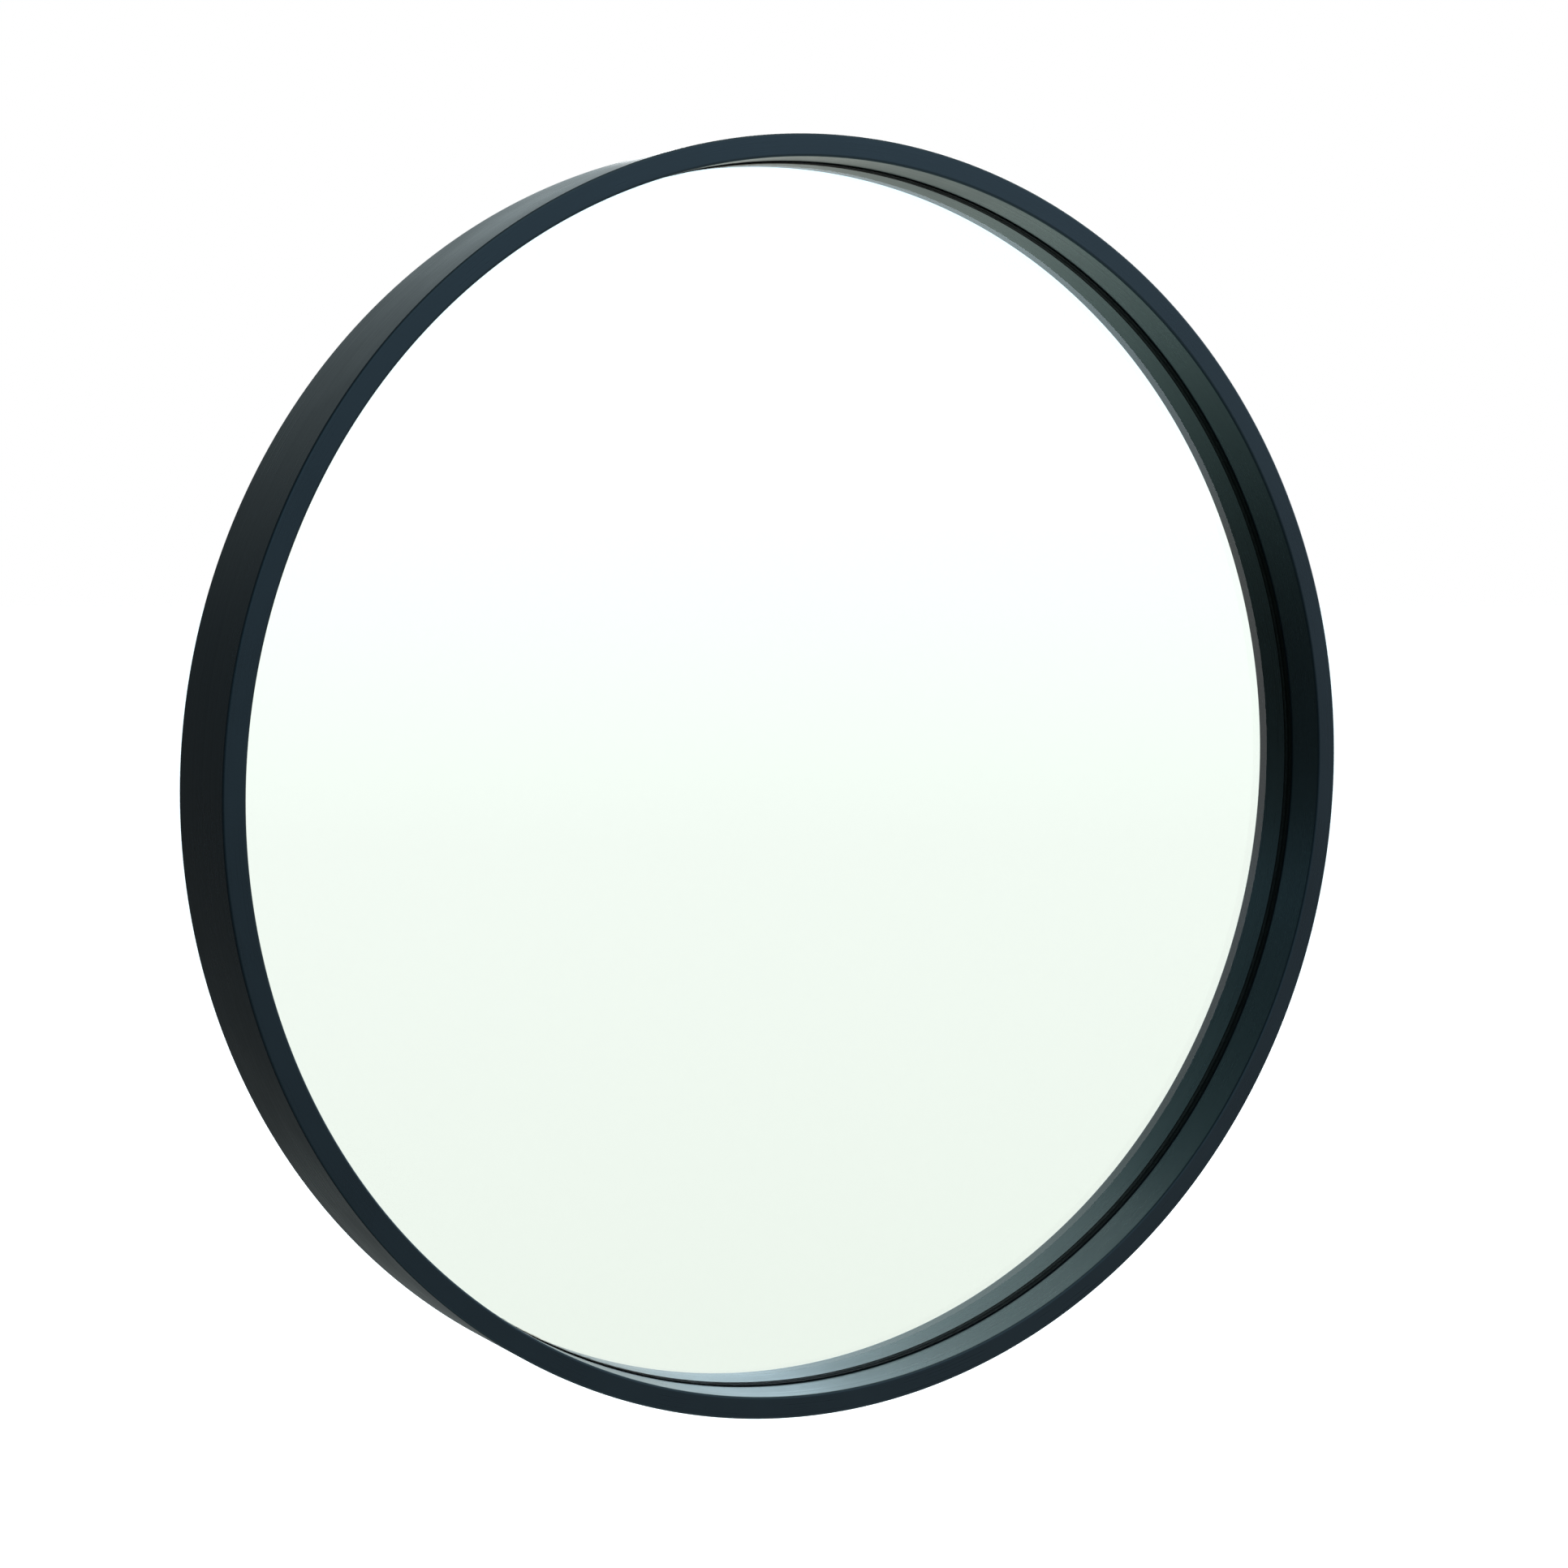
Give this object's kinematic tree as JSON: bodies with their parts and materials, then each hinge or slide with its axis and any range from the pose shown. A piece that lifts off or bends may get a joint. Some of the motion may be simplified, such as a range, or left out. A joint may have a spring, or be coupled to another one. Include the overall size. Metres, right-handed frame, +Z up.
{
  "type": "round wall mirror",
  "caption": "Flat round wall mirror set back in a deep black hoop frame, hung by D-rings on its rear panel.",
  "frame": {"origin": "centre of the hoop's rear edge, on the wall", "axes": "+Y from the glass into the wall, the glass faces -Y, +Z up, +X to the right of someone facing the glass"},
  "size_m": [0.6, 0.055, 0.6],
  "materials": {
    "black_lacquer": "satin black lacquer over bent veneer",
    "clear_glass": "polished float glass",
    "silvering": "silvered",
    "safety_film": "woven plastic film",
    "foam_tape": "closed-cell foam",
    "fibreboard": "raw medium-density fibreboard",
    "zinc_plate": "bright zinc plate",
    "screw_steel": "zinc-plated screws",
    "nickel_wire": "nickel-plated wire"
  },
  "bodies": {
    "mirror": {"frame_hoop": "black_lacquer", "mirror_glass": "clear_glass", "silver_coating": "silvering", "safety_film": "safety_film", "back_panel": "fibreboard", "mounting_tape_1": "foam_tape", "mounting_tape_2": "foam_tape", "mounting_tape_3": "foam_tape", "mounting_tape_4": "foam_tape", "mounting_tape_5": "foam_tape", "corner_brace_1": "zinc_plate", "corner_brace_2": "zinc_plate", "corner_brace_3": "zinc_plate", "corner_brace_4": "zinc_plate", "corner_brace_5": "zinc_plate", "corner_brace_6": "zinc_plate", "corner_brace_7": "zinc_plate", "corner_brace_8": "zinc_plate", "brace_panel_screws": "screw_steel", "brace_hoop_screws": "screw_steel", "hanger_screws": "screw_steel", "left_hanger_strap": "zinc_plate", "right_hanger_strap": "zinc_plate"},
    "left_ring": {"left_d_ring": "nickel_wire"},
    "right_ring": {"right_d_ring": "nickel_wire"}
  },
  "joints": [
    {"name": "left_ring_swing", "type": "hinge", "parent": "mirror", "child": "left_ring", "pos_m": [-0.15, -0.01542, 0.16], "axis": [1, 0, 0], "range_deg": [0, 173]},
    {"name": "right_ring_swing", "type": "hinge", "parent": "mirror", "child": "right_ring", "pos_m": [0.15, -0.01542, 0.16], "axis": [1, 0, 0], "range_deg": [0, 173]}
  ]
}
